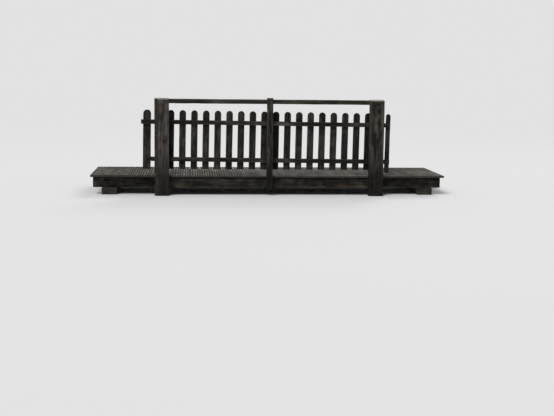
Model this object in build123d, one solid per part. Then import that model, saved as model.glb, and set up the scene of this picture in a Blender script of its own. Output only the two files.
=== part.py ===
from build123d import *
import math
import os

# A small wooden footbridge over a woodland stream, in millimetres.
# X runs along the bridge, Z is up and the side with the railing faces -Y.
# The origin is at ground level, in the middle of everything that stands on it.
# Three stringers lie on two sills, one on each bank, and carry boards laid across them.
# A shorter edge beam hangs under the boards along each side, from one end post to the other.
# A single railing stands outside the front edge beam: two broad end posts from the ground up,
# a slim middle post bolted to the beam, a handrail, two rails and a row of round topped pickets.

# Sills on the banks
sill_height = 100
sill_width = 220
sill_end_gap = 150           # from the end of the deck to the sill
sill_margin = 40             # past the outer stringers

# Beams under the deck
beam_depth = 161
edge_beam_width = 60
edge_beam_setback = 10       # its ends, inside the outer faces of the end posts
stringer_width = 100
stringer_inset = 150         # from the edge of the deck to the outer stringers
stringer_end_gap = 25        # the deck runs past the stringers' ends by this much
stringer_count = 3

# Deck boards, laid across the beams
board_width = 137
board_joint = 5
board_thickness = 28
board_count = 36
boards_in_a_stretch = 9
board_overhang = 30          # past the outer faces of the edge beams
deck_width = 1375
notch_clearance = 3          # around a post, where a board is cut to pass it

# Posts of the railing
end_post_width = 207
end_post_depth = 100
end_post_spacing = 3077      # between the centres of the two end posts
end_post_arris = 8
end_post_rise = 14           # the back of its top, above the handrail
end_post_fall = 14           # of its slanted top, from back to front
wane_width = 50              # bark edge of the left post, seen from the front
wane_depth = 26
middle_post_width = 86
middle_post_depth = 80
middle_post_drop = 3         # below the beam
middle_post_rise = 24        # above the handrail
middle_post_arris = 4

# Handrail and rails
handrail_top = 1086          # above the deck
handrail_height = 64
handrail_width = 90
handrail_arris = 12
handrail_setback = 6         # its ends, inside the outer faces of the end posts
rail_height = 62
rail_thickness = 40
left_rail_tail = 20          # past the last picket; the right ends are flush with theirs
lower_rail_cut = 65          # the lower rail is this much shorter at its left end
upper_rail_level = 745       # its middle, above the deck
lower_rail_level = 216
rail_slope = 0.53            # degrees, down towards +X
rail_arris = 4

# Pickets
picket_width = 95
picket_thickness = 22
picket_count = 20            # in the even row, the first and last of them behind the end posts
picket_inset = 55.5          # from the outer face of an end post in to the picket behind it
picket_bottom = 81           # above the deck, in the middle of the row
picket_top = 915
picket_foot_slope = 0.15     # degrees, down towards +X; the tops follow the rails
picket_lean = 0.8            # degrees, top towards +X
left_picket_width = 112      # the pickets outside the end posts have widths of their own
left_picket_gap = 59         # from the end post to the picket outside it
right_picket_width = 67
right_picket_gap = 36
right_picket_foot_drop = 39  # below the row's line of feet
right_picket_top_drop = 8    # below the row's line of tops

# Levels, from the ground up
beam_bottom = sill_height
beam_top = beam_bottom + beam_depth
deck_top = beam_top + board_thickness
handrail_top_level = deck_top + handrail_top
handrail_bottom_level = handrail_top_level - handrail_height
end_post_top_level = handrail_top_level + end_post_rise

# Places across the bridge. The front face of the end posts is the foremost plane.
overall_width = end_post_depth + deck_width - board_overhang
front_y = -overall_width / 2
frame_y = front_y + end_post_depth             # outer face of the front beam
deck_front_y = frame_y - board_overhang
deck_back_y = deck_front_y + deck_width
rail_back_y = frame_y + rail_thickness

# Places along the bridge
board_pitch = board_width + board_joint
deck_length = board_count * board_pitch - board_joint
stringer_half = deck_length / 2 - stringer_end_gap
end_post_x = end_post_spacing / 2
end_post_outer_x = end_post_x + end_post_width / 2
row_end_x = end_post_outer_x - picket_inset
picket_pitch = 2 * row_end_x / (picket_count - 1)
left_picket_x = -(end_post_outer_x + left_picket_gap + left_picket_width / 2)
right_picket_x = end_post_outer_x + right_picket_gap + right_picket_width / 2
rail_left = left_picket_x - left_picket_width / 2 - left_rail_tail
rail_right = right_picket_x + right_picket_width / 2

# Parts collected as name: shape
parts = {}


def block(x0, x1, y0, y1, z0, z1):
    """A straight timber between two corners."""
    size = (x1 - x0, y1 - y0, z1 - z0)
    middle = ((x0 + x1) / 2, (y0 + y1) / 2, (z0 + z1) / 2)
    return Pos(*middle) * Box(*size)


def eased(shape, axis, radius):
    """The timber with its long arrises rounded; axis is the direction it runs in."""
    return fillet(shape.edges().filter_by(axis), radius)


def sill(side):
    """Timber lying on one bank, across the bridge, under the ends of the stringers."""
    outer = side * (deck_length / 2 - sill_end_gap)
    inner = outer - side * sill_width
    front = deck_front_y + stringer_inset - sill_margin
    back = deck_back_y - stringer_inset + sill_margin
    return block(min(inner, outer), max(inner, outer), front, back, 0, sill_height)


def stringer(number):
    """One of the beams that carry the deck from bank to bank, the first at the railing side."""
    step = (deck_width - 2 * stringer_inset - stringer_width) / (stringer_count - 1)
    y0 = deck_front_y + stringer_inset + number * step
    return block(-stringer_half, stringer_half, y0, y0 + stringer_width, beam_bottom, beam_top)


def edge_beam(y0):
    """Beam under the edge of the deck, between the places of the end posts."""
    half = end_post_outer_x - edge_beam_setback
    return block(-half, half, y0, y0 + edge_beam_width, beam_bottom, beam_top)


def post_notches():
    """Space that the deck boards leave around the three posts."""
    wide = end_post_width / 2 + notch_clearance
    slim = middle_post_width / 2 + notch_clearance
    places = [(-end_post_x, wide), (0, slim), (end_post_x, wide)]
    notches = []
    for x, half in places:
        notches.append(block(x - half, x + half, front_y, frame_y, beam_bottom, handrail_top_level))
    return notches


def deck_stretch(first):
    """A stretch of loose boards laid across the beams, starting with the board of this number."""
    boards = []
    for number in range(first, first + boards_in_a_stretch):
        x0 = -deck_length / 2 + number * board_pitch
        board = block(x0, x0 + board_width, deck_front_y, deck_back_y, beam_top, deck_top)
        for notch in post_notches():
            board = board - notch
        boards.append(board.solid())
    return Compound(boards)


def end_post(side):
    """Broad post from the ground to the handrail, its top cut at a slant. The left one keeps a bark edge."""
    x = side * end_post_x
    half = end_post_width / 2
    outline = Polygon((front_y, 0), (frame_y, 0), (frame_y, end_post_top_level),
                      (front_y, end_post_top_level - end_post_fall), align=None)
    post = extrude(Plane.YZ.offset(x - half) * outline, end_post_width)
    if side < 0:
        corner = Polygon((x - half, front_y), (x - half + wane_width, front_y), (x - half, front_y + wane_depth),
                         align=None)
        post = post - extrude(corner, end_post_top_level)
        arris = [e for e in post.edges().filter_by(Axis.Z) if e.center().X > x and e.center().Y < frame_y - 1]
    else:
        arris = [e for e in post.edges().filter_by(Axis.Z) if e.center().Y < frame_y - 1]
    return fillet(arris, end_post_arris)


def middle_post():
    """Slim post bolted to the outer face of the front edge beam."""
    half = middle_post_width / 2
    bottom = beam_bottom - middle_post_drop
    top = handrail_top_level + middle_post_rise
    post = block(-half, half, frame_y - middle_post_depth, frame_y, bottom, top)
    arris = [e for e in post.edges().filter_by(Axis.Z) if e.center().Y < frame_y - 1]
    return fillet(arris, middle_post_arris)


def handrail():
    """Top rail on the inner faces of the posts, rounded along its upper arrises."""
    half = end_post_outer_x - handrail_setback
    rail = block(-half, half, frame_y, frame_y + handrail_width, handrail_bottom_level, handrail_top_level)
    upper = rail.edges().filter_by(Axis.X).group_by(Axis.Z)[-1]
    return fillet(upper, handrail_arris)


def rail(level, left):
    """Rail that the pickets are nailed to. It runs past both end posts and drops a little to the right."""
    bar = block(left, rail_right, frame_y, rail_back_y, -rail_height / 2, rail_height / 2)
    bar = eased(bar, Axis.X, rail_arris)
    return Pos(0, 0, deck_top + level) * Rot(0, rail_slope, 0) * bar


def picket(x, width, foot_drop=0, top_drop=0):
    """Upright board with a round top, on the inner faces of the rails."""
    bottom = picket_bottom - x * math.tan(math.radians(picket_foot_slope)) - foot_drop
    top = picket_top - x * math.tan(math.radians(rail_slope)) - top_drop
    height = top - bottom
    radius = width / 2
    outline = Pos(0, (height - radius) / 2) * Rectangle(width, height - radius)
    outline = outline + Pos(0, height - radius) * Circle(radius)
    board = extrude(Plane.XZ * outline, -picket_thickness)
    return Pos(x, rail_back_y, deck_top + bottom) * Rot(0, picket_lean, 0) * board


parts["sill_left"] = sill(-1)
parts["sill_right"] = sill(1)

for number, place in enumerate(["front", "middle", "rear"]):
    parts["stringer_" + place] = stringer(number)
parts["edge_beam_front"] = edge_beam(frame_y)
parts["edge_beam_rear"] = edge_beam(deck_back_y - board_overhang - edge_beam_width)

for number, place in enumerate(["left_end", "left_middle", "right_middle", "right_end"]):
    parts["deck_" + place] = deck_stretch(number * boards_in_a_stretch)

parts["end_post_left"] = end_post(-1)
parts["end_post_right"] = end_post(1)
parts["middle_post"] = middle_post()
parts["handrail"] = handrail()
parts["upper_rail"] = rail(upper_rail_level, rail_left)
parts["lower_rail"] = rail(lower_rail_level, rail_left + lower_rail_cut)

# The row of pickets is even about the middle post, which stands in front of the gap between two of them.
parts["picket_01"] = picket(left_picket_x, left_picket_width)
for number in range(picket_count):
    parts["picket_" + str(number + 2).zfill(2)] = picket(number * picket_pitch - row_end_x, picket_width)
parts["picket_" + str(picket_count + 2)] = picket(right_picket_x, right_picket_width, right_picket_foot_drop,
                                                  right_picket_top_drop)

os.makedirs("parts", exist_ok=True)
for name, shape in parts.items():
    export_step(shape, "parts/" + name + ".step")
    box = shape.bounding_box()
    print(name, len(shape.solids()), "solid, volume", round(shape.volume / 1e6, 2), "litres, top at", round(box.max.Z))
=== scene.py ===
# %% [markdown]
# # A small wooden footbridge
#
# This lesson dresses a footbridge of sawn timber: three stringers on two sills, boards laid
# across them, and one railing with two broad end posts, a slim middle post, a handrail, two
# rails and a row of pickets with round tops. The frame already holds every timber as a plain
# solid at its real size. Here each one is made again as weathered wood: arrises worn round,
# drying cracks that open along the grain, knots that stand proud, grooves worn shallow where
# people walk. Every timber is one kind of surface, a block drawn on a grid, so the lesson
# builds that once and then spends its care on what makes one timber differ from the next.

# %% Load the frame
import math

import bpy
import numpy as np
from mathutils import Matrix, Vector


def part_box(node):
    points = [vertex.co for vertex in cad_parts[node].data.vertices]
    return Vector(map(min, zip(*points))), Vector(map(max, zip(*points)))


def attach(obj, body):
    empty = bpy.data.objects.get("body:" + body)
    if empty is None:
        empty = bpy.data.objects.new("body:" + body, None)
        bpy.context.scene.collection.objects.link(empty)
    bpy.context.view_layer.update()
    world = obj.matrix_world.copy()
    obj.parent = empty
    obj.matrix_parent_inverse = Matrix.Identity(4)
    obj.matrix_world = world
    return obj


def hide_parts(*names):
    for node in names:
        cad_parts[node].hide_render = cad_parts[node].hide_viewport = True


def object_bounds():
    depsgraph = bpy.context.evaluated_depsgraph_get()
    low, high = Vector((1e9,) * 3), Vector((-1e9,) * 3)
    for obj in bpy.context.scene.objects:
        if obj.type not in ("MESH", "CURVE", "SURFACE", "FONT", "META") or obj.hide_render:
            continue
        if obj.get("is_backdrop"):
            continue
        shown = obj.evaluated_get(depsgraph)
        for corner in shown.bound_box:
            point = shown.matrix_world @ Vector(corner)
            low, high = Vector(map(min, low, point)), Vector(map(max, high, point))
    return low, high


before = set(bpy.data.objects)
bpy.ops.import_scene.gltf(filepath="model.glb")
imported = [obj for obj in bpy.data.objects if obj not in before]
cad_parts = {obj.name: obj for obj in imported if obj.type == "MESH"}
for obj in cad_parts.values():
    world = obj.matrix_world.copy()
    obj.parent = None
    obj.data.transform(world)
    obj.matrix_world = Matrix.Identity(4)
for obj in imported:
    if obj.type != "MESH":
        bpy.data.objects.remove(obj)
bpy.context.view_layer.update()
print("nodes in the frame:", len(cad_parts))

# %% [markdown]
# ## The camera
#
# The photographer stood some fifteen metres away, a little to the left of the middle of the
# bridge, with the lens less than half a metre above the handrail. That is why the top of the
# handrail is seen almost edge on, while the deck shows as a thin band. The focal length is
# written in pixels of the picture, which is how it was measured, and turned into millimetres.

# %% Place the camera
image_width = 554
focal_pixels = 1075.0
sensor_mm = 36.0
camera_place = (-1.1423, -16.0014, 1.7912)
camera_turn = 0.08165  # to the right of straight across the bridge, in radians
camera_dip = 0.12735  # below the horizon
camera_roll = -0.01073

ahead = np.array([math.sin(camera_turn) * math.cos(camera_dip),
                  math.cos(camera_turn) * math.cos(camera_dip),
                  -math.sin(camera_dip)])
level_right = np.array([math.cos(camera_turn), -math.sin(camera_turn), 0.0])
level_down = np.cross(ahead, level_right)
right = math.cos(camera_roll) * level_right + math.sin(camera_roll) * level_down
down = math.cos(camera_roll) * level_down - math.sin(camera_roll) * level_right


def add_object(name, data):
    """Put a mesh, lamp or camera into the scene as an object."""
    made = bpy.data.objects.new(name, data)
    bpy.context.collection.objects.link(made)
    return made


camera_data = bpy.data.cameras.new("camera")
camera_data.sensor_width = sensor_mm
camera_data.lens = sensor_mm * focal_pixels / image_width
camera = add_object("camera", camera_data)
camera.matrix_world = Matrix([[right[i], -down[i], -ahead[i], camera_place[i]] for i in range(3)]
                             + [[0, 0, 0, 1]])
bpy.context.scene.camera = camera
bpy.context.scene.view_settings.view_transform = "Standard"
print("lens in millimetres:", round(camera_data.lens, 1))

# %% [markdown]
# ## Small helpers for materials
#
# A procedural material is a graph of nodes. Written out by hand it is mostly plumbing, so short
# helpers carry that: they start a material, add a node and fill its inputs with numbers or with
# other nodes' outputs, do arithmetic, turn one range of numbers into another, and mix colours.

# %% Helpers for node graphs


def add_node(tree, kind, inputs=(), output=0, **settings):
    """Add a node, set its options, fill its inputs by name or number, and return one output."""
    made = tree.nodes.new("ShaderNode" + kind)
    for key, value in settings.items():
        setattr(made, key, value)
    for key, value in dict(inputs).items():
        if isinstance(value, bpy.types.NodeSocket):
            tree.links.new(value, made.inputs[key])
        else:
            made.inputs[key].default_value = value
    return made.outputs[output]


def calc(tree, operation, *values):
    """One step of arithmetic on numbers or outputs."""
    return add_node(tree, "Math", enumerate(values), operation=operation)


def remap(tree, value, low, high, low_gives=0.0, high_gives=1.0):
    """Turn the range from low to high into the one from low_gives to high_gives, and stop there."""
    limits = {0: value, 1: low, 2: high, 3: low_gives, 4: high_gives}
    return add_node(tree, "MapRange", limits)


def mix_colours(tree, share, first, second):
    """Blend two colours, each an output or three numbers; share is how much of the second shows."""
    first, second = [(*c, 1.0) if isinstance(c, tuple) else c for c in (first, second)]
    return add_node(tree, "Mix", {0: share, 6: first, 7: second}, output=2, data_type="RGBA")


def new_material(name):
    """A node material, its node tree and its shader."""
    material = bpy.data.materials.new(name)
    material.use_nodes = True
    shader = material.node_tree.nodes["Principled BSDF"]
    return material, material.node_tree, shader


# %% [markdown]
# ## Floor and light
#
# The bridge stands on a plain pale floor, a wide disc that fades, far out, into the colour of
# the sky, so no horizon cuts through the railing. The key light stands above and in front, a
# little to the left, and lays the soft shadow of each rail on the pickets behind it. Both lamps
# are suns seen through a wide angle: as soft as a big box of cloth, and equally strong
# everywhere. Their strengths and the pale world's add up to the light at which a colour shows
# as it is written.

# %% Floor, lamps and world
backdrop = (0.76, 0.76, 0.76, 1.0)
floor_colour = (0.77, 0.77, 0.77, 1.0)
sky_strength = 0.35
floor_radius = 90.0
fade_start = 6.0  # from the middle of the bridge, in metres
fade_end = 16.0
floor_sides = 96

rim_angles = np.linspace(0, 2 * math.pi, floor_sides, endpoint=False)
rim = floor_radius * np.stack([np.cos(rim_angles), np.sin(rim_angles), 0 * rim_angles], -1)
floor_mesh = bpy.data.meshes.new("floor")
floor_mesh.from_pydata(rim.tolist(), [], [list(range(floor_sides))])
floor = add_object("floor", floor_mesh)
floor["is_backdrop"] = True

floor_material, tree, shader = new_material("pale_floor")
floor_place = add_node(tree, "TexCoord", output=3)
distance = add_node(tree, "VectorMath", {0: floor_place}, output=1, operation="LENGTH")
fade = remap(tree, distance, fade_start, fade_end)
shader.inputs["Base Color"].default_value = floor_colour
shader.inputs["Roughness"].default_value = 0.9
shader.inputs["Specular IOR Level"].default_value = 0.1
glow = add_node(tree, "Emission", {"Color": backdrop, "Strength": 1.0})
faded = add_node(tree, "MixShader", {0: fade, 1: shader.outputs[0], 2: glow})
tree.links.new(faded, tree.nodes["Material Output"].inputs["Surface"])
floor_mesh.materials.append(floor_material)

world = bpy.data.worlds.new("studio")
bpy.context.scene.world = world
world.use_nodes = True
sky = world.node_tree
sky_light = sky.nodes["Background"]
sky_light.inputs["Color"].default_value = (1.0, 1.0, 1.0, 1.0)
sky_light.inputs["Strength"].default_value = sky_strength
sky_seen = add_node(sky, "Background", {"Color": backdrop, "Strength": 1.0})
rays = sky.nodes.new("ShaderNodeLightPath").outputs
seen = calc(sky, "MAXIMUM", rays["Is Camera Ray"],
            calc(sky, "MAXIMUM", rays["Is Glossy Ray"], rays["Is Transmission Ray"]))
sky_mix = add_node(sky, "MixShader", {0: seen, 1: sky_light.outputs[0], 2: sky_seen})
sky.links.new(sky_mix, sky.nodes["World Output"].inputs["Surface"])


def soft_lamp(name, place, wide, strength):
    """A sun at a place, facing the origin, as wide as this angle in degrees."""
    data = bpy.data.lights.new(name, "SUN")
    data.angle = math.radians(wide)
    data.energy = strength
    lamp = add_object(name, data)
    facing = Vector(place).to_track_quat("Z", "Y").to_matrix().to_4x4()
    lamp.matrix_world = Matrix.Translation(place) @ facing


soft_lamp("key", (-5.5, -9.8, 11.4), 28, 2.35)
soft_lamp("back_fill", (6.6, 11.5, 8.9), 28, 0.70)

# %% [markdown]
# ## A block on a grid
#
# A sawn timber is a block. It could be a cube with a bevel modifier, but weather needs points
# to push on, and the grain needs to know where it is inside the wood. So the block is drawn on
# a lattice: lines along x, y and z, and a point wherever three lines meet on the skin. Points
# are numbered by their place in the lattice, so the six sides share the points along their
# edges and the skin is closed from the start. The lines can crowd together wherever detail is
# wanted: along an arris, in a groove, down both sides of a crack.

# %% Lattice block
quarter_round = 0.586  # of an arris, in from its corner: 1 less the tangent of 22.5 degrees
crowded = 0.3  # of a step: an even line this near to an extra one is left out


def lattice(xs, ys, zs):
    """The closed skin of a block: every lattice point on one of the six sides, and the quads
    between them, wound so that they face outwards."""
    shape = (len(xs), len(ys), len(zs))
    ids = np.arange(math.prod(shape)).reshape(shape)
    sides = [ids[-1], ids[0].T, ids[:, -1].T, ids[:, 0], ids[:, :, -1], ids[:, :, 0].T]
    quads = [np.stack([s[:-1, :-1], s[1:, :-1], s[1:, 1:], s[:-1, 1:]], -1) for s in sides]
    quads = np.concatenate([q.reshape(-1, 4) for q in quads])
    used, quads = np.unique(quads, return_inverse=True)
    i, j, k = np.unravel_index(used, shape)
    return np.stack([xs[i], ys[j], zs[k]], -1), quads.reshape(-1, 4)


def lines(low, high, arris, step, extra=()):
    """Grid lines from low to high: two close to each arris so that it rounds well, an even
    spread between them, and any extra ones, which push away even lines that they crowd."""
    close = arris * np.array([0.0, quarter_round, 1.0])
    count = max(2, int(round((high - low - 2 * arris) / step)) + 1)
    even = np.linspace(low + arris, high - arris, count)
    extra = np.array(sorted(extra), float)
    if len(extra):
        keep = np.abs(even[:, None] - extra[None, :]).min(1) > crowded * step
        keep[[0, -1]] = True
        even = even[keep]
    return np.unique(np.round(np.concatenate([low + close, even, extra, high - close]), 6))


# %% [markdown]
# ## Weather
#
# Three things age a timber. Its arrises wear round. Its faces sink a little between the hard
# rings, unevenly. And it dries and splits: a check is a narrow crack that follows the grain for
# a hand's length or more. All of them only take wood away, so the piece never grows out of the
# solid that it stands for. The uneven part comes from ripples, a sum of plane waves in random
# directions, which is the same on every run.

# %% Weathering functions
wear_waves = (0.5, 0.5, 0.22)  # lengths of the ripples along x, y and z of a timber, in metres
sink_waves = (0.05, 0.05, 0.6)
check_waves = (1, 1, 0.5)
check_wander = 0.006  # how far a check strays from its line
wander_reach = 0.03  # how far beside the check the grid lines stray with it
check_taper = 0.3  # of its length, towards each end
knot_hollow = 0.0022  # how far the wood round a knot has sunk
end_grain_reach = 0.012  # how far a sawn end's colour runs up the timber

# The faces that a mark can be on: the axis across the face, and which side it is.
x_low, x_high, y_low, y_high = (1, -1), (1, 1), (0, -1), (0, 1)


def ripple(points, waves, seed, count=18):
    """Smooth noise, mostly between -1 and 1: a sum of cosine waves with random directions and
    phases, whose typical wavelengths along x, y and z are the three numbers in waves."""
    rng = np.random.default_rng(seed)
    numbers = rng.normal(size=(count, 3)) * (2 * math.pi / np.array(waves, float))
    phases = rng.uniform(0, 2 * math.pi, count)
    return np.cos(points @ numbers.T + phases).sum(1) / math.sqrt(count)


def ease(points, low, high, arris):
    """Round the arrises: each point goes to one arris radius from the nearest point of the
    block's core, which is the block less that radius on every side."""
    core = np.clip(points, low + arris, high - arris)
    out = points - core
    length = np.maximum(np.linalg.norm(out, axis=1, keepdims=True), 1e-9)
    return core + out / length * arris, out / length


def open_check(made, high, mark, seed):
    """Open a check: the grid lines round it wander a little, and its middle one is pushed in."""
    (axis, side), where, start, end, half_width, depth = mark
    points, flat, data = made["points"], made["flat"], made["data"]
    other = 1 - axis
    on_face = np.abs(flat[:, other] - side * high[other]) < 1e-6
    off = flat[:, axis] - where
    along = flat[:, 2]
    wander = check_wander * ripple(flat * (0, 0, 1), check_waves, seed)
    points[:, axis] += np.where(on_face, wander * np.exp(-(off / wander_reach) ** 2), 0)
    taper = np.clip(np.minimum(along - start, end - along) / (check_taper * (end - start)), 0, 1)
    deep = taper * (np.abs(off) < 0.25 * half_width) * on_face
    points[:, other] -= side * depth * deep
    # Dirt and painted shade darken the check's floor.
    data["dirt"] = np.maximum(data["dirt"], deep)


def set_knot(made, high, arris, mark):
    """Set in a knot: the wood round it has sunk, and the grain flows round it."""
    (axis, side), where, height, radius = mark
    points, flat, data = made["points"], made["flat"], made["data"]
    other = 1 - axis
    on_face = flat[:, other] * side > high[other] - 2 * arris
    away = np.hypot(flat[:, axis] - where, (flat[:, 2] - height) * 0.75) / radius
    points[:, other] -= side * knot_hollow * (np.exp(-((away - 1.25) / 0.45) ** 2) * on_face)
    data["knot"] = np.maximum(data["knot"], np.exp(-away ** 2) * on_face)
    push = 1.0 / (away ** 2 + 0.6)
    data["grain"][:, axis] -= (flat[:, axis] - where) * np.where(on_face, push, 0)


def stain_patch(made, high, mark):
    """Make one patch of a face paler or darker."""
    (axis, side), where, height, half_width, half_height, strength = mark
    flat = made["flat"]
    on_face = flat[:, 1 - axis] * side > 0.6 * high[1 - axis]
    away = ((flat[:, axis] - where) / half_width) ** 2 + ((flat[:, 2] - height) / half_height) ** 2
    made["data"]["stain"] += strength * np.exp(-away) * on_face


def timber(size, arris, steps, seed, sink=0.0012, checks=(), knots=(), patches=(),
           extra=((), (), ()), wear=0.8, shade=0.0):
    """One weathered timber in its own frame: x across it, y through it, z along it from 0.

    Every mark starts with its face. Then a check has place, start, end, half width and depth,
    a knot has place, height and radius, and a patch has place, height, half width, half
    height and strength. A strength or shade above 0 is paler. Steps are the distances between
    grid lines, and extra holds more lines. Returns points and faces, what the finish reads at
    each point, and each point's place on the plain block."""
    low = np.array([-size[0] / 2, -size[1] / 2, 0.0])
    high = np.array([size[0] / 2, size[1] / 2, size[2]])
    more = [list(e) for e in extra]
    for (axis, side), where, start, end, half_width, depth in checks:
        more[axis] += [where - half_width, where, where + half_width]
    flat, quads = lattice(*[lines(low[a], high[a], arris, steps[a], more[a]) for a in range(3)])
    worn = arris * np.clip(1.0 + wear * ripple(flat, wear_waves, seed + 1), 0.35, 1.0)[:, None]
    points, normal = ease(flat, low, high, worn)
    hollow = np.clip(0.5 + 0.6 * ripple(flat, sink_waves, seed + 2), 0, 1.4)[:, None]
    points = points - normal * sink * hollow
    edge = np.sort(np.minimum(flat - low, high - flat), axis=1)[:, 1]
    to_end = np.minimum(flat[:, 2], high[2] - flat[:, 2])
    data = {"wear": np.exp(-edge / (1.6 * arris + 0.002)),
            "end": np.exp(-to_end / end_grain_reach),
            "stain": np.full(len(flat), shade), "grain": flat.copy()}
    data.update({key: np.zeros(len(flat)) for key in ("dirt", "knot", "damp_and_shade", "bark", "silver")})
    made = {"points": points, "faces": [quads], "flat": flat, "data": data}
    for number, mark in enumerate(checks):
        open_check(made, high, mark, seed + 31 + number)
    for mark in knots:
        set_knot(made, high, arris, mark)
    for mark in patches:
        stain_patch(made, high, mark)
    made["points"] = np.clip(points, low, high)
    rng = np.random.default_rng(seed)
    pith = rng.uniform(0.5, 1.4, 2) * (high[0], max(high[:2])) * rng.choice([-1, 1], 2)
    data["grain"] -= (pith[0], pith[1], rng.uniform(0, 9))
    data["tone"] = np.full(len(flat), rng.uniform(-1, 1))
    return made


def set_in_place(piece, origin, across, through, along):
    """Turn a timber from its own frame into the bridge's: three directions and where z = 0 is."""
    turn = np.array([across, through, along], float)
    piece["points"] = np.array(origin, float) + piece["points"] @ turn
    return piece


# %% [markdown]
# ## From arrays to Blender
#
# Several timbers can share one mesh, as the boards of one stretch of deck do. Their arrays are
# stacked, with each one's faces renumbered. The numbers that the finish reads, such as how worn
# a point is, go along as attributes.

# %% Make a piece
smooth_below = math.radians(38)
skins = {}  # a piece's points, for what sits on it


def make_piece(name, timbers, material, stands_for=()):
    """Join timbers into one mesh at the origin, with its attributes, material and body."""
    counts = [len(t["points"]) for t in timbers]
    starts = np.cumsum(counts) - counts
    points = skins[name] = np.concatenate([t["points"] for t in timbers])
    faces = [face for t, start in zip(timbers, starts) for group in t["faces"]
             for face in (group + start).tolist()]
    mesh = bpy.data.meshes.new(name)
    mesh.from_pydata(points.tolist(), [], faces)
    mesh.shade_smooth()
    mesh.set_sharp_from_angle(angle=smooth_below)
    for key in timbers[0]["data"]:
        values = np.concatenate([t["data"][key] for t in timbers]).astype(np.float32)
        kind, field = ("FLOAT", "value") if values.ndim == 1 else ("FLOAT_VECTOR", "vector")
        mesh.attributes.new(key, kind, "POINT").data.foreach_set(field, values.ravel())
    mesh.materials.append(material)
    piece = add_object(name, mesh)
    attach(piece, "root")
    if stands_for:
        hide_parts(*stands_for)
    print(name, "has", len(faces), "faces")


# %% [markdown]
# ## Sizes from the frame
#
# Each timber fills the box of its own node. What several pieces need is worked out here once:
# how boards and grooves divide the deck, and the beams' middle lines, where the screws go in.

# %% Shared sizes


def node_box(node):
    """A node's lowest and highest corners as arrays, in metres."""
    low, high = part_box(node)
    return np.array(low), np.array(high)


stretches = ["left_end", "left_middle", "right_middle", "right_end"]
boards_in_a_stretch = 9
board_joint = 0.005
low, high = node_box("deck_left_end")
board_pitch = (high[0] - low[0] + board_joint) / boards_in_a_stretch
board_width = board_pitch - board_joint
groove_pitch = board_pitch / 4
screw_offset = 1.5 * groove_pitch  # from a board's middle line to its screws

bearers = ["edge_beam_front", "stringer_front", "stringer_middle", "stringer_rear", "edge_beam_rear"]
bearer_lines = [sum(corner[1] for corner in node_box(node)) / 2 for node in bearers]
print("board width:", round(board_width, 4), "beams at:", [round(y, 3) for y in bearer_lines])

# %% [markdown]
# ## The finish: old wood
#
# Weathered wood is grey brown, and its colour lives in layers. Growth rings run through it as
# cylinders round the pith, which is why a board shows long tongues on its face and arcs on its
# end. Fine streaks and broader ones follow the grain. Blotches the size of a hand come from
# algae and dried mud, and broad stains from rain and leaf shade. Worn arrises are paler, cracks
# are nearly black with dirt and painted shade, knots are dark with the grain flowing round them,
# sawn ends are darker, the posts' feet are darker with damp and painted shade, and what faces
# the sky is bleached. All layers read the wood's own coordinates, the attribute named grain, so
# they turn with each timber. On the deck, iron bleeds from each screw and blackens the wood round
# it, further along the grain than across; the board's plain coordinates, the attribute named
# place, tell how near a screw is. Dry old wood hardly shines, so its specular level is low.

# %% Wood material
bleached = 0.35  # how pale the sky has made what faces it
differ = 0.12  # how much one timber's brightness differs from another's
ring_density = 1150.0  # radians of the ring pattern per metre from the pith
silver_grey = (0.33, 0.315, 0.29)
iron_black = (0.022, 0.018, 0.015)
bark_cracks = (0.007, 0.006, 0.005)
bark_ridges = (0.052, 0.044, 0.036)
bark_dust = (0.016, 0.014, 0.012)


def read(tree, key, output=2):
    """A timber's attribute: output 2 is a number, output 1 a vector."""
    return add_node(tree, "Attribute", output=output, attribute_name=key)


def along_grain(tree, grain, stretch):
    """Coordinates in which features are longer along the grain, by one over the stretch."""
    return add_node(tree, "VectorMath", {0: grain, 1: (1.0, 1.0, stretch)}, operation="MULTIPLY")


def grain_noise(tree, grain, stretch, scale, detail, twist=0.0):
    """Noise that is longer along the grain."""
    return add_node(tree, "TexNoise", {"Vector": along_grain(tree, grain, stretch), "Scale": scale,
                                       "Detail": detail, "Distortion": twist})


def tint(tree, colour, layer, strength, target):
    """Mix in the target colour where a layer, or the attribute of that name, is high."""
    layer = read(tree, layer) if isinstance(layer, str) else layer
    return mix_colours(tree, calc(tree, "MULTIPLY", layer, strength), colour, target)


def growth_rings(tree, grain, streak):
    """A wave that runs out from the pith, which lies along z, and wanders with the streaks."""
    from_pith = add_node(tree, "VectorMath", {0: along_grain(tree, grain, 0.02)}, output=1,
                         operation="LENGTH")
    turn = calc(tree, "ADD", calc(tree, "MULTIPLY", from_pith, ring_density),
                calc(tree, "MULTIPLY", streak, 9.0))
    return calc(tree, "MULTIPLY_ADD", calc(tree, "SINE", turn), 0.5, 0.5)


def iron_stain(tree, fine):
    """How much iron has blackened a deck board: most within 4 mm of a screw across the grain,
    none beyond 16, twice as far along it. Past the edge beams' ends their lines hold no screws."""
    place = read(tree, "place", 1)
    across, beyond, along = [add_node(tree, "SeparateXYZ", {0: place}, output=axis) for axis in range(3)]
    from_middle = calc(tree, "ABSOLUTE", across)
    beside = calc(tree, "ABSOLUTE", calc(tree, "SUBTRACT", from_middle, screw_offset))
    nearest = 1.0
    for node, line in zip(bearers, bearer_lines):
        gap = calc(tree, "ABSOLUTE", calc(tree, "SUBTRACT", along, line))
        if node.startswith("edge_beam"):
            gap = calc(tree, "ADD", gap, beyond)
        nearest = calc(tree, "MINIMUM", nearest, gap)
    squared = [calc(tree, "POWER", beside, 2.0),
               calc(tree, "POWER", calc(tree, "MULTIPLY", nearest, 0.45), 2.0)]
    away = calc(tree, "SQRT", calc(tree, "ADD", *squared))
    ragged = calc(tree, "MULTIPLY_ADD", calc(tree, "SUBTRACT", fine, 0.5), 0.006, away)
    return remap(tree, ragged, 0.004, 0.016, 0.75, 0.0)


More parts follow.
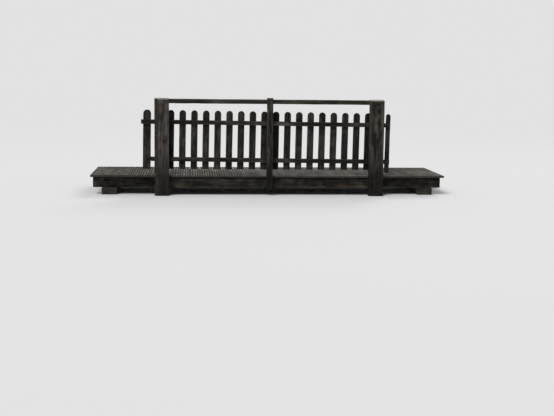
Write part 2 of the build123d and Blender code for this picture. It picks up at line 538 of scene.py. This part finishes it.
def old_wood(name, base, pale, dark, streaks=0.5, blotches=0.5, ends=0.4, screw_marks=False):
    """Weathered timber. base, pale and dark are colours; streaks, blotches and ends, from 0 to
    1, are how strongly those show; screw_marks adds the iron stains of the deck."""
    material, tree, shader = new_material(name)
    soot = tuple(0.35 * c for c in dark)
    wet_and_shaded = tuple(0.55 * c for c in dark)
    grain = read(tree, "grain", 1)
    # Each layer of noise has its stretch, scale and detail.
    fine, streak, blotch, broad = [grain_noise(tree, grain, *layer) for layer in (
        (0.03, 320.0, 3.0), (0.09, 38.0, 2.0), (0.75, 11.0, 3.0), (0.30, 3.2, 1.0))]
    rings = growth_rings(tree, grain, streak)

    # Each layer lightens the wood where it is above one half and darkens it below.
    light = calc(tree, "MULTIPLY_ADD", read(tree, "tone"), differ, 0.5)
    for layer, strength in [(fine, 1.5 * streaks), (rings, 0.28 * streaks), (streak, 3.0 * streaks),
                            (blotch, 2.6 * blotches), (broad, 0.9)]:
        light = calc(tree, "MULTIPLY_ADD", calc(tree, "SUBTRACT", layer, 0.5), strength, light)
    light = calc(tree, "ADD", light, read(tree, "stain"))
    colour = mix_colours(tree, remap(tree, light, 0.5, 0.0), base, dark)
    colour = mix_colours(tree, remap(tree, light, 0.5, 1.0), colour, pale)

    wear = calc(tree, "MULTIPLY", read(tree, "wear"), calc(tree, "MULTIPLY_ADD", streak, 1.8, -0.3))
    colour = tint(tree, colour, wear, 0.75, pale)
    normal = add_node(tree, "NewGeometry", output=1)
    up = calc(tree, "MAXIMUM", add_node(tree, "SeparateXYZ", {0: normal}, output=2), 0.0)
    skyward = calc(tree, "MULTIPLY", calc(tree, "POWER", up, 2.0),
                   calc(tree, "MULTIPLY_ADD", blotch, 1.2, 0.2))
    colour = tint(tree, colour, skyward, bleached, pale)
    colour = tint(tree, colour, "end", ends, soot)
    # Damp and painted shade darken the posts' feet.
    colour = tint(tree, colour, "damp_and_shade", 0.88, wet_and_shaded)
    colour = tint(tree, colour, "knot", 0.9, soot)
    hard_rings = calc(tree, "MULTIPLY_ADD", rings, 0.35, calc(tree, "MULTIPLY_ADD", blotch, 0.5, 0.35))
    colour = tint(tree, colour, "silver", hard_rings, silver_grey)
    if screw_marks:
        colour = mix_colours(tree, iron_stain(tree, fine), colour, iron_black)
    ridges = remap(tree, grain_noise(tree, grain, 0.13, 75.0, 4.0, twist=0.7), 0.42, 0.60)
    bark = mix_colours(tree, ridges, bark_cracks, bark_ridges)
    bark = tint(tree, bark, fine, 0.6, bark_dust)
    colour = mix_colours(tree, read(tree, "bark"), colour, bark)
    colour = tint(tree, colour, "dirt", 0.92, soot)
    tree.links.new(colour, shader.inputs["Base Color"])

    tree.links.new(remap(tree, light, 0.2, 0.8, 0.95, 0.75), shader.inputs["Roughness"])
    shader.inputs["Specular IOR Level"].default_value = 0.12
    height = calc(tree, "ADD", fine, calc(tree, "MULTIPLY", streak, 0.6))
    height = calc(tree, "MULTIPLY_ADD", rings, 0.25, height)
    height = calc(tree, "MULTIPLY_ADD", calc(tree, "MULTIPLY", ridges, read(tree, "bark")), 2.0, height)
    relief = add_node(tree, "Bump", {"Strength": 0.35, "Distance": 0.0016, "Height": height})
    tree.links.new(relief, shader.inputs["Normal"])
    return material


# %% Wood finishes
# Each has three colours: base, pale and dark.
post_wood = old_wood("post_wood", (0.031, 0.0275, 0.0235), (0.074, 0.067, 0.058),
                     (0.010, 0.0087, 0.0073), streaks=0.6)
handrail_wood = old_wood("handrail_wood", (0.017, 0.015, 0.0129), (0.058, 0.053, 0.046),
                         (0.0075, 0.0065, 0.0055), blotches=0.4)
rail_wood = old_wood("rail_wood", (0.020, 0.0176, 0.015), (0.056, 0.050, 0.043),
                     (0.0075, 0.0065, 0.0054), blotches=0.7)
picket_wood = old_wood("picket_wood", (0.018, 0.0159, 0.0137), (0.044, 0.039, 0.034),
                       (0.0068, 0.006, 0.005), blotches=0.6)
deck_wood = old_wood("deck_wood", (0.158, 0.146, 0.129), (0.275, 0.256, 0.229),
                     (0.050, 0.045, 0.038), streaks=0.3, blotches=0.4, ends=0.85, screw_marks=True)
beam_wood = old_wood("beam_wood", (0.026, 0.023, 0.0195), (0.060, 0.054, 0.047),
                     (0.009, 0.0078, 0.0065), blotches=0.7)
sill_wood = old_wood("sill_wood", (0.030, 0.026, 0.022), (0.066, 0.059, 0.050),
                     (0.011, 0.0095, 0.008))
print("materials:", [m.name for m in bpy.data.materials])

# %% [markdown]
# ## Posts
#
# The two end posts are broad timbers that stand in the ground, the middle one is slim and hangs
# on the edge beam. The tops of the end posts are cut at a slant, so that rain runs off to the
# front, and the sun has bleached their end grain to silver. The right post has two big knots, a
# long check and a dark stain below its top. The left one was sawn from the edge of the log, so
# one arris is still the round of the tree, rough with bark. That wane is cut in three steps: a
# share of 1 on the line where the round meets the two sawn faces, less towards the lost corner;
# each point is pushed straight in by most of what its share lacks; and ripples break the
# surface into plates.

# %% Posts
top_fall = 0.014  # of an end post's top, from back to front
damp_and_shade_level = 0.72  # from here down the wood is darker, with damp and painted shade, fully so from 0.27 m
damp_and_shade_fade = 0.45
silver_depth = 0.005  # how far down from the top the end grain's silver reaches


def post(node, arris, seed, step=0.009, rise=1.4, fall=0.0, silver=0.2, **marks):
    """A post that fills its node's box, darker at its foot with damp and painted shade. Its top
    slants down to the front by fall: each point sinks by that, times its share of the way to the
    front, times its share of the height."""
    low, high = node_box(node)
    width, depth, height = high - low
    made = timber(high - low, arris, (step, step, rise * step), seed, sink=0.0018, **marks)
    points, data, up = made["points"], made["data"], made["flat"][:, 2]
    points[:, 2] *= 1 - fall * (0.5 - points[:, 1] / depth) / height
    # Damp and painted shade: the wood turns darker towards the ground.
    data["damp_and_shade"] = np.clip((damp_and_shade_level - low[2] - up) / damp_and_shade_fade, 0, 1)
    data["end"] *= height - up > 0.1
    # Wear and a painted highlight: the top edge of the post is paler, as where it catches the light.
    data["wear"] = np.maximum(data["wear"], np.exp(-(height - up) / 0.010))
    data["silver"] = silver * np.exp(-((height - up) / silver_depth) ** 2)
    foot = (low[0] + width / 2, low[1] + depth / 2, low[2])
    return set_in_place(made, foot, (1, 0, 0), (0, 1, 0), (0, 0, 1))


right_post = post(
    "end_post_right", 0.009, 11, fall=top_fall, silver=1.0,
    checks=[(y_low, -0.037, 0.62, 0.98, 0.0026, 0.014), (y_low, 0.060, 0.10, 0.52, 0.0018, 0.009),
            (y_high, 0.020, 0.30, 1.10, 0.0022, 0.012), (x_high, 0.010, 0.20, 0.90, 0.0018, 0.008),
            (x_low, -0.012, 0.35, 1.25, 0.0018, 0.008)],
    knots=[(y_low, 0.020, 1.239, 0.026), (y_low, -0.023, 0.910, 0.023),
           (y_high, 0.045, 0.620, 0.020), (y_low, 0.052, 0.430, 0.014)],
    patches=[(y_low, -0.030, 0.79, 0.013, 0.13, -0.7), (y_low, 0.018, 0.90, 0.011, 0.045, 0.5),
             (y_low, 0.068, 1.10, 0.026, 0.33, 0.30), (y_low, -0.002, 1.12, 0.012, 0.07, 0.45),
             (y_low, 0.010, 1.335, 0.060, 0.020, -0.4)])
make_piece("right_end_post", [right_post], post_wood, ["end_post_right"])

# %% Left post with its bark edge
wane_width = 0.050
wane_depth = 0.026
bark_step = 0.005
plate_waves = (0.016, 0.016, 0.035)
plate_height = 0.0045
low, high = node_box("end_post_left")
corner = -(high - low)[:2] / 2
bark_lines = (corner[0] + np.arange(0.013, wane_width, bark_step),
              corner[1] + np.arange(0.012, wane_depth, bark_step), ())

left_post = post(
    "end_post_left", 0.009, 23, rise=0.9, fall=top_fall, silver=0.8, shade=0.2, extra=bark_lines,
    checks=[(y_low, 0.030, 0.40, 1.30, 0.0022, 0.012), (y_high, -0.035, 0.50, 1.20, 0.0022, 0.012),
            (x_high, 0.008, 0.55, 1.20, 0.0018, 0.008)],
    knots=[(y_low, 0.046, 0.780, 0.019), (y_high, -0.020, 0.980, 0.020)])
plain, points, data = left_post["flat"], left_post["points"], left_post["data"]
slope_in = np.array([1 / wane_width, 1 / wane_depth])
share = (plain[:, :2] - corner) @ slope_in
lacking = np.clip(1 - share, 0, 1)[:, None] * slope_in / (slope_in @ slope_in)
plates = np.clip(0.5 + 0.5 * ripple(plain, plate_waves, 29), 0, 1) * np.clip(1.1 - share, 0, 0.3) / 0.3
sunk = plate_height * plates[:, None] * slope_in / np.linalg.norm(slope_in)
round_log = (low + high)[:2] / 2 + plain[:, :2] + 0.9 * lacking + sunk
points[:, :2] = np.where(share[:, None] < 1, round_log, points[:, :2])
data["bark"] = np.clip((1.12 - share) / 0.12, 0, 1)
data["wear"] *= 1 - data["bark"]
make_piece("left_end_post", [left_post], post_wood, ["end_post_left"])

# %% Middle post
slim_post = post("middle_post", 0.005, 37, step=0.007, shade=-0.2,
                 checks=[(y_low, 0.008, 0.45, 1.28, 0.0016, 0.008),
                         (y_high, -0.006, 0.30, 0.90, 0.0016, 0.008)],
                 knots=[(y_low, -0.014, 0.640, 0.012)])
make_piece("slim_middle_post", [slim_post], post_wood, ["middle_post"])

# %% [markdown]
# ## Handrail and rails
#
# Each rail is a long timber laid along the bridge. The two lower ones drop slightly to the
# right, so their own frame is turned by that slope; the ends of the node's box give it.

# %% Rails
handrail_height = 0.064
rail_height = 0.062


def rail(name, node, wood, height, arris, seed, painted_light_bands=(), **marks):
    """A rail along the bridge that fills its node's box; a box higher than the rail is a slope.
    Painted light bands are paler or darker stretches of its front, painted dappled light and
    shade, each with its middle, half length and strength."""
    low, high = node_box(node)
    slope = math.atan2((high[2] - low[2]) - height, high[0] - low[0])
    length = (high[0] - low[0] - height * math.sin(slope)) / math.cos(slope)
    along = (math.cos(slope), 0, -math.sin(slope))
    up = (math.sin(slope), 0, math.cos(slope))
    patches = [(y_high, 0, middle, 0.1, reach, strength) for middle, reach, strength in painted_light_bands]
    made = timber((height, high[1] - low[1], length), arris, (0.009, 0.009, 0.018), seed,
                  sink=0.0014, patches=patches, **marks)
    left_end = (low + high) / 2 - np.array(along) * length / 2
    set_in_place(made, left_end, up, (0, -1, 0), along)
    make_piece(name, [made], wood, [node])


def rail_level(node, x):
    """The level of a picket rail's middle line at x."""
    low, high = node_box(node)
    share = (x - low[0]) / (high[0] - low[0])
    return high[2] - rail_height / 2 - share * (high[2] - low[2] - rail_height)


rail("top_handrail", "handrail", handrail_wood, handrail_height, 0.011, 41, shade=-0.10,
     checks=[(x_high, 0.008, 0.5, 1.3, 0.0016, 0.008), (x_high, -0.012, 1.9, 2.9, 0.0016, 0.008),
             (y_high, 0.004, 0.2, 1.2, 0.0014, 0.006), (y_high, -0.008, 1.8, 2.6, 0.0014, 0.006)])
rail("upper_picket_rail", "upper_rail", rail_wood, rail_height, 0.004, 43, shade=-0.18,
     checks=[(y_high, 0.010, 0.1, 0.8, 0.0014, 0.006), (y_high, -0.006, 2.3, 3.2, 0.0014, 0.006),
             (y_low, 0.004, 1.0, 2.2, 0.0014, 0.006)],
     # Painted dappled light and shade along the front; the last band is painted shade on the left end.
     painted_light_bands=[(1.64, 0.16, 0.25), (2.06, 0.20, 0.3), (2.56, 0.36, -0.5), (3.12, 0.22, 0.3),
            (0.02, 0.13, -0.7)])
rail("lower_picket_rail", "lower_rail", rail_wood, rail_height, 0.004, 47, shade=-0.34,
     checks=[(y_high, -0.008, 0.4, 1.5, 0.0014, 0.006), (y_high, 0.012, 2.2, 3.0, 0.0014, 0.006),
             (y_low, -0.004, 1.4, 2.5, 0.0014, 0.006)],
     # Painted dappled light and shade along the front; the last band is painted shade on the left end.
     painted_light_bands=[(1.58, 0.16, 0.2), (2.00, 0.20, 0.25), (2.55, 0.34, -0.4), (0.02, 0.10, -0.7)])

# %% [markdown]
# ## Pickets
#
# A picket is a thin board with a round top. Its grid is a plain block whose upper lines crowd
# together as a circle's do; then each level is narrowed to the half circle's width there, the
# square root of the radius squared less the height above its centre squared. The pickets
# close beside a post are darker than the rest: painted shade, where the post's shadow falls.

# %% Pickets
picket_nodes = sorted(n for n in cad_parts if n.startswith("picket_"))
picket_lean = math.radians(0.8)
picket_arris = 0.0025
top_angles = np.radians([12, 24, 36, 47, 57, 66, 74, 81, 86])
row_width = 0.095
own_widths = {"picket_01": 0.112, "picket_22": 0.067}  # outside the end posts
# Painted shade: how much darker each picket beside a post is, where the post's shadow falls on it.
shaded_beside_posts = {"picket_02": -0.5, "picket_03": -0.2, "picket_12": -0.7, "picket_19": -0.2,
               "picket_20": -0.6, "picket_21": -0.5}


def picket_marks(rng):
    """The checks and knots of one picket: some have a check at the foot, at the top, or a knot."""
    checks, knots = [], []
    if rng.random() < 0.6:
        checks.append((y_low, rng.uniform(-0.02, 0.02), -0.1, rng.uniform(0.12, 0.5), 0.0012, 0.006))
    if rng.random() < 0.6:
        checks.append((y_high, rng.uniform(-0.02, 0.02), rng.uniform(0.2, 0.5), 0.75, 0.0012, 0.006))
    if rng.random() < 0.55:
        knots.append(((0, rng.choice([-1, 1])), rng.uniform(-0.02, 0.02), rng.uniform(0.1, 0.7),
                      rng.uniform(0.007, 0.012)))
    return {"checks": checks, "knots": knots}


def picket(node, seed):
    """A picket that fills its node's box: a leaning board with a round top."""
    low, high = node_box(node)
    lean_x, lean_z = math.sin(picket_lean), math.cos(picket_lean)
    width = own_widths.get(node, row_width)
    radius = width / 2
    spring = (high[2] - low[2] - radius * lean_x - radius) / lean_z
    levels = spring + radius * np.sin(top_angles)
    made = timber((width, high[1] - low[1], spring + radius), picket_arris, (0.009, 0.008, 0.016),
                  seed, extra=((), (), levels), shade=shaded_beside_posts.get(node, 0.0),
                  **picket_marks(np.random.default_rng(seed)))
    flat, data = made["flat"], made["data"]
    above = np.clip(flat[:, 2] - spring, 0, radius * 0.998)
    narrow = np.sqrt(radius ** 2 - above ** 2) / radius
    made["points"][:, 0] *= narrow
    to_rim = narrow * (radius - np.abs(flat[:, 0]))
    data["wear"] = np.where(above < 0.001, data["wear"], np.exp(-to_rim / 0.006))
    foot = (low[0] + radius * lean_z, (low[1] + high[1]) / 2, low[2] + radius * lean_x)
    return set_in_place(made, foot, (lean_z, 0, -lean_x), (0, 1, 0), (lean_x, 0, lean_z))


for number, node in enumerate(picket_nodes):
    make_piece("round_" + node, [picket(node, 100 + number)], picket_wood, [node])

# %% [markdown]
# ## Deck boards
#
# The boards lie across the bridge. Each has three grooves along its top, and the joint between
# two boards makes the fourth line of the pattern, so the deck shows one even comb of dark and
# pale lines. A groove is six grid lines: down a rounded wall, across the bottom, and up again.
# Feet have worn the ridges lower along the middle of the walkway.

# %% Deck
groove_depth = 0.006
groove_offsets = np.array([-0.0096, -0.0080, -0.0056, 0.0056, 0.0080, 0.0096])
groove_falls = groove_depth * np.array([0.0, 0.8, 1.0, 1.0, 0.8, 0.0])
grooves = groove_pitch * np.array([-1, 0, 1])
groove_lines = np.add.outer(grooves, groove_offsets).ravel()
notch_clearance = 0.003
cut_gap = 0.0002  # from the side of a notch to the grid lines before and after it
trim = 0.005  # the most that a sawn end falls short
ends_darker_from = 1.25  # from the bridge's middle to where the deck starts to turn darker towards its ends
ends_darker_over = 0.75
edge_low, edge_high = node_box("edge_beam_front")
beam_reach = edge_high[0] - 0.03  # how far out an edge beam holds boards
notch_plane = edge_low[1] + notch_clearance
post_spans = [(low[0] - notch_clearance, high[0] + notch_clearance)
              for low, high in map(node_box, ("end_post_left", "middle_post", "end_post_right"))]


def wear_top(made, thickness, length, settled, seed):
    """Cut a board's grooves, wear its ridges along the walkway, and darken the groove floors and
    joint edges with dirt and painted shade.
    """
    flat, points, data = made["flat"], made["points"], made["data"]
    upper = flat[:, 1] > thickness / 2 - 0.0005
    fall = np.max([np.interp(flat[:, 0] - groove, groove_offsets, groove_falls, left=0, right=0)
                   for groove in grooves], axis=0)
    walked = np.exp(-((flat[:, 2] - 0.52 * length) / (0.26 * length)) ** 2)
    worn_away = 0.0012 * walked * (1 + 0.5 * ripple(flat, (0.3, 1, 0.5), seed + 5))
    points[:, 1] -= np.where(upper, fall + np.clip(worn_away, 0, 0.003) * (fall < 0.001) + settled, 0)
    to_joint = board_width / 2 - np.abs(flat[:, 0])
    # Dirt and painted shade in the grooves and beside the joints.
    groove_dirt_and_shade = np.maximum(fall / groove_depth, np.exp(-(to_joint / 0.006) ** 2))
    data["dirt"] = np.maximum(data["dirt"], np.where(upper, groove_dirt_and_shade, 0))
    data["wear"] *= ~upper
    data["stain"] += 0.25 * walked - 0.05


def deck_board(left, low, high, seed):
    """One grooved board across the bridge, notched at its front end where it meets a post."""
    rng = np.random.default_rng(seed)
    thickness, front, length = high[2] - low[2], low[1], high[1] - low[1]
    middle = left + board_width / 2
    # The board's own x runs against the bridge's, so that its frame stays right handed.
    cuts = [middle - x for span in post_spans for x in span if abs(x - middle) < board_width / 2 - 0.002]
    cut_lines = [cut + shift for cut in cuts for shift in (-cut_gap, cut_gap)]
    mud = [(y_high, rng.uniform(-0.05, 0.05), rng.uniform(0, length), 0.09, rng.uniform(0.08, 0.3),
            rng.uniform(-0.6, 0.3)) for blot in range(2)]
    made = timber((board_width, thickness, length), 0.003, (0.02, 0.02, 0.055), seed, sink=0.0006,
                  patches=mud, extra=([*groove_lines, *cut_lines], (), ()), wear=0.6)
    flat, points, data = made["flat"], made["points"], made["data"]
    wear_top(made, thickness, length, rng.uniform(0.0006, 0.0020), seed)
    # The boards turn darker towards both ends of the deck.
    data["stain"] -= 0.42 * np.clip((abs(middle) - ends_darker_from) / ends_darker_over, 0, 1)
    beyond = np.full(len(flat), float(abs(middle) > beam_reach))
    data["place"] = np.stack([flat[:, 0], beyond, flat[:, 2] + front], -1)
    # The ends were sawn a little unevenly, always inside the deck's own edge.
    trim_front, trim_back = rng.uniform(0, trim, 2)
    share = flat[:, 2] / length
    points[:, 2] += trim_front * (1 - share) - trim_back * share
    in_notch = np.any([(middle - flat[:, 0] > start) & (middle - flat[:, 0] < end)
                       for start, end in post_spans], axis=0)
    points[:, 2] = np.maximum(points[:, 2], np.where(in_notch, notch_plane - front, -1))
    return set_in_place(made, (middle, front, (low[2] + high[2]) / 2), (-1, 0, 0), (0, 0, 1), (0, 1, 0))


for number, stretch in enumerate(stretches):
    low, high = node_box("deck_" + stretch)
    boards = [deck_board(low[0] + place * board_pitch, low, high, 300 + 20 * number + place)
              for place in range(boards_in_a_stretch)]
    make_piece("boards_" + stretch, boards, deck_wood, ["deck_" + stretch])

# %% [markdown]
# ## Beams and sills
#
# The edge beams and stringers are seen from the side and from below, the sills between the
# plants of the bank. They are rough sawn, dark with damp, and split along their length.

# %% Beams and sills
beam_steps = (0.014, 0.014, 0.028)


def long_beam(name, node, seed, **marks):
    """A beam along the bridge that fills its node's box, darker along its top with a painted
    shadow of the boards' overhang and water stain.
    """
    low, high = node_box(node)
    length, width, depth = high - low
    made = timber((depth, width, length), 0.005, beam_steps, seed, sink=0.0018, **marks)
    below = depth / 2 - made["flat"][:, 0]
    # Painted shadow of the boards' overhang, with water stain: a dark band along the beam's top.
    made["data"]["dirt"] = np.maximum(made["data"]["dirt"], 0.9 * np.exp(-(below / 0.026) ** 4))
    left_end = (low[0], low[1] + width / 2, low[2] + depth / 2)
    set_in_place(made, left_end, (0, 0, 1), (0, -1, 0), (1, 0, 0))
    make_piece(name, [made], beam_wood, [node])


def bank_sill(name, node, seed):
    """A sill across the bridge that fills its node's box."""
    low, high = node_box(node)
    width, length, depth = high - low
    made = timber((width, depth, length), 0.009, beam_steps, seed, sink=0.0022,
                  checks=[(y_high, 0.03, 0.1, 0.9, 0.002, 0.01)])
    front_end = (low[0] + width / 2, low[1], low[2] + depth / 2)
    set_in_place(made, front_end, (-1, 0, 0), (0, 0, 1), (0, 1, 0))
    make_piece(name, [made], sill_wood, [node])


beam_checks = [(y_high, 0.022, 0.3, 1.4, 0.0018, 0.010), (y_high, -0.030, 1.9, 2.9, 0.0018, 0.010),
               (y_low, 0.010, 0.8, 2.2, 0.0018, 0.010)]
long_beam("rough_edge_beam_front", "edge_beam_front", 500, checks=beam_checks, shade=-0.10,
          knots=[(y_high, 0.010, 2.16, 0.022), (y_high, 0.045, 2.38, 0.018),
                 (y_high, -0.020, 0.62, 0.020), (y_low, 0.012, 1.30, 0.020)],
          patches=[(y_high, 0.0, 2.30, 0.2, 0.55, -0.15), (y_high, -0.06, 2.9, 0.03, 0.9, 0.25)])
for number, node in enumerate(["edge_beam_rear", "stringer_front", "stringer_middle", "stringer_rear"]):
    long_beam("rough_" + node, node, 501 + number, checks=beam_checks, shade=-0.1)
bank_sill("rough_sill_left", "sill_left", 521)
bank_sill("rough_sill_right", "sill_right", 522)

# %% [markdown]
# ## Screws, nails and bolts
#
# Two screws hold each board to every beam below it. Each picket has two nails in each rail,
# driven from the deck side. Coach screws hold the posts, also from the deck side, so that
# nothing shows on the posts' fronts. All their heads are turned shapes: a profile of radii and
# heights goes round an axis, in few steps, or in six for a hexagon. Each head is seated on the
# wood as the weather left it, at the nearest point of its timber's skin. The steel has rusted,
# so it wanders between brown and near black, and hardly shines.

# %% Turned heads
rusty_steel, tree, shader = new_material("rusty_steel")
steel_place = add_node(tree, "TexCoord", output=3)
grains, crust = [
    add_node(tree, "TexNoise", {"Vector": steel_place, "Scale": scale, "Detail": 2.0})
    for scale in (900.0, 140.0)]
redness = remap(tree, calc(tree, "MULTIPLY_ADD", read(tree, "tone"), 0.25, crust), 0.35, 0.65)
rust = mix_colours(tree, redness, (0.030, 0.020, 0.015), (0.095, 0.045, 0.022))
rust = tint(tree, rust, grains, 0.5, (0.018, 0.014, 0.012))
relief = add_node(tree, "Bump", {"Strength": 0.4, "Distance": 0.0004, "Height": grains})
tree.links.new(rust, shader.inputs["Base Color"])
tree.links.new(relief, shader.inputs["Normal"])
shader.inputs["Metallic"].default_value = 0.25
shader.inputs["Roughness"].default_value = 0.72


def turned(profile, sides, place, out, turn=0.0):
    """A closed turned shape. For each (radius, height) of the profile there is a ring of points:
    the place, plus the radius times a direction square to the axis, plus the height times out."""
    radii, heights = np.array(profile, float).T[:, :, None, None]
    first = np.roll(out, 1)
    angles = turn + np.linspace(0, 2 * math.pi, sides, endpoint=False)
    round_it = np.outer(np.cos(angles), first) + np.outer(np.sin(angles), np.cross(out, first))
    points = (place + radii * round_it + heights * np.array(out)).reshape(-1, 3)
    ids = np.arange(len(points)).reshape(len(profile), sides)
    next_ids = np.roll(ids, -1, axis=1)
    painted_light_bands = np.stack([ids[:-1], next_ids[:-1], next_ids[1:], ids[1:]], -1).reshape(-1, 4)
    tone = math.sin(7919.0 * (place[0] + 2.3 * place[1] + 3.1 * place[2]))
    return {"points": points, "faces": [painted_light_bands, np.stack([ids[0, ::-1], ids[-1]])],
            "data": {"tone": np.full(len(points), tone)}}


def seats(skin, places, axis):
    """Move each place along the axis to the level of the nearest point on the skin's high side."""
    level = skin[:, axis]
    outer = skin[level > (level.min() + level.max()) / 2]
    others = [a for a in range(3) if a != axis]
    gaps = ((places[:, None, others] - outer[None, :, others]) ** 2).sum(-1)
    seated = places.copy()
    seated[:, axis] = outer[gaps.argmin(1), axis]
    return seated


# %% Deck screws
rng = np.random.default_rng(71)
screw_profile = [(0.0042, -0.0020), (0.0042, 0.0005), (0.0035, 0.0009), (0.0017, 0.0009),
                 (0.0013, 0.0002)]
screws = []
for stretch in stretches:
    low, high = node_box("deck_" + stretch)
    middles = low[0] + board_width / 2 + board_pitch * np.arange(boards_in_a_stretch)
    x, offset, y = [a.ravel() for a in np.meshgrid(middles, [-screw_offset, screw_offset],
                                                   bearer_lines, indexing="ij")]
    held = (np.abs(x) < beam_reach) | np.isin(y, bearer_lines[1:-1])
    places = np.stack([x + offset, y, np.full(len(x), high[2])], -1)[held]
    places[:, :2] += rng.normal(0, 0.0012, (len(places), 2))
    places = seats(skins["boards_" + stretch], places, 2)
    screws += [turned(screw_profile, 8, spot, (0, 0, 1), turn=rng.uniform(0, 1)) for spot in places]
make_piece("deck_screws", screws, rusty_steel)

# %% Picket nails
nail_profile = [(0.0034, -0.0015), (0.0034, 0.0003), (0.0026, 0.0007), (0.0010, 0.0008)]
nail_places = np.array([[-0.021, 0, 0.011], [0.021, 0, -0.011]])  # from where the timbers cross
nails = []
for node in picket_nodes:
    low, high = node_box(node)
    x, z = (low[0] + high[0]) / 2, (low[2] + high[2]) / 2
    for rail_node in ("upper_rail", "lower_rail"):
        level = rail_level(rail_node, x)
        places = nail_places + (x + math.tan(picket_lean) * (level - z), high[1], level)
        places[:, [0, 2]] += rng.normal(0, 0.002, (2, 2))
        places = seats(skins["round_" + node], places, 1)
        nails += [turned(nail_profile, 8, spot, (0, 1, 0)) for spot in places]
make_piece("picket_nails", nails, rusty_steel)

# %% Coach screws in the posts
washer_profile = [(0.015, -0.0030), (0.015, 0.0016), (0.0142, 0.0022), (0.006, 0.0022)]
hexagon_profile = [(0.0110, 0.0), (0.0110, 0.0085), (0.0096, 0.0100), (0.004, 0.0104)]
handrail_screw_level = 1.343
beam_screw_levels = (0.145, 0.222)
sidestep = 0.0355  # in the rails, to stay clear of the picket behind an end post
coach_screws = []
for node in ("end_post_left", "middle_post", "end_post_right"):
    low, high = node_box(node)
    x = (low[0] + high[0]) / 2
    beside = x - sidestep * np.sign(x)
    spots = [("top_handrail", x, handrail_screw_level)]
    spots += [("rough_edge_beam_front", x, level) for level in beam_screw_levels]
    spots += [("upper_picket_rail", beside, rail_level("upper_rail", beside)),
              ("lower_picket_rail", beside, rail_level("lower_rail", beside))]
    for piece_name, along, level in spots:
        spot = seats(skins[piece_name], np.array([[along, 0.0, level]]), 1)[0]
        coach_screws += [turned(washer_profile, 20, spot, (0, 1, 0)),
                         turned(hexagon_profile, 6, spot, (0, 1, 0), turn=rng.uniform(0, 1))]
make_piece("coach_screws", coach_screws, rusty_steel)

# %% [markdown]
# ## Sizes
#
# The size of the dressed bridge is printed. The dressed bridge has to stay inside the frame's
# box.

# %% Write the sizes and finish
low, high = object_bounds()
print("dressed size in metres:", [round(b - a, 3) for a, b in zip(low, high)])
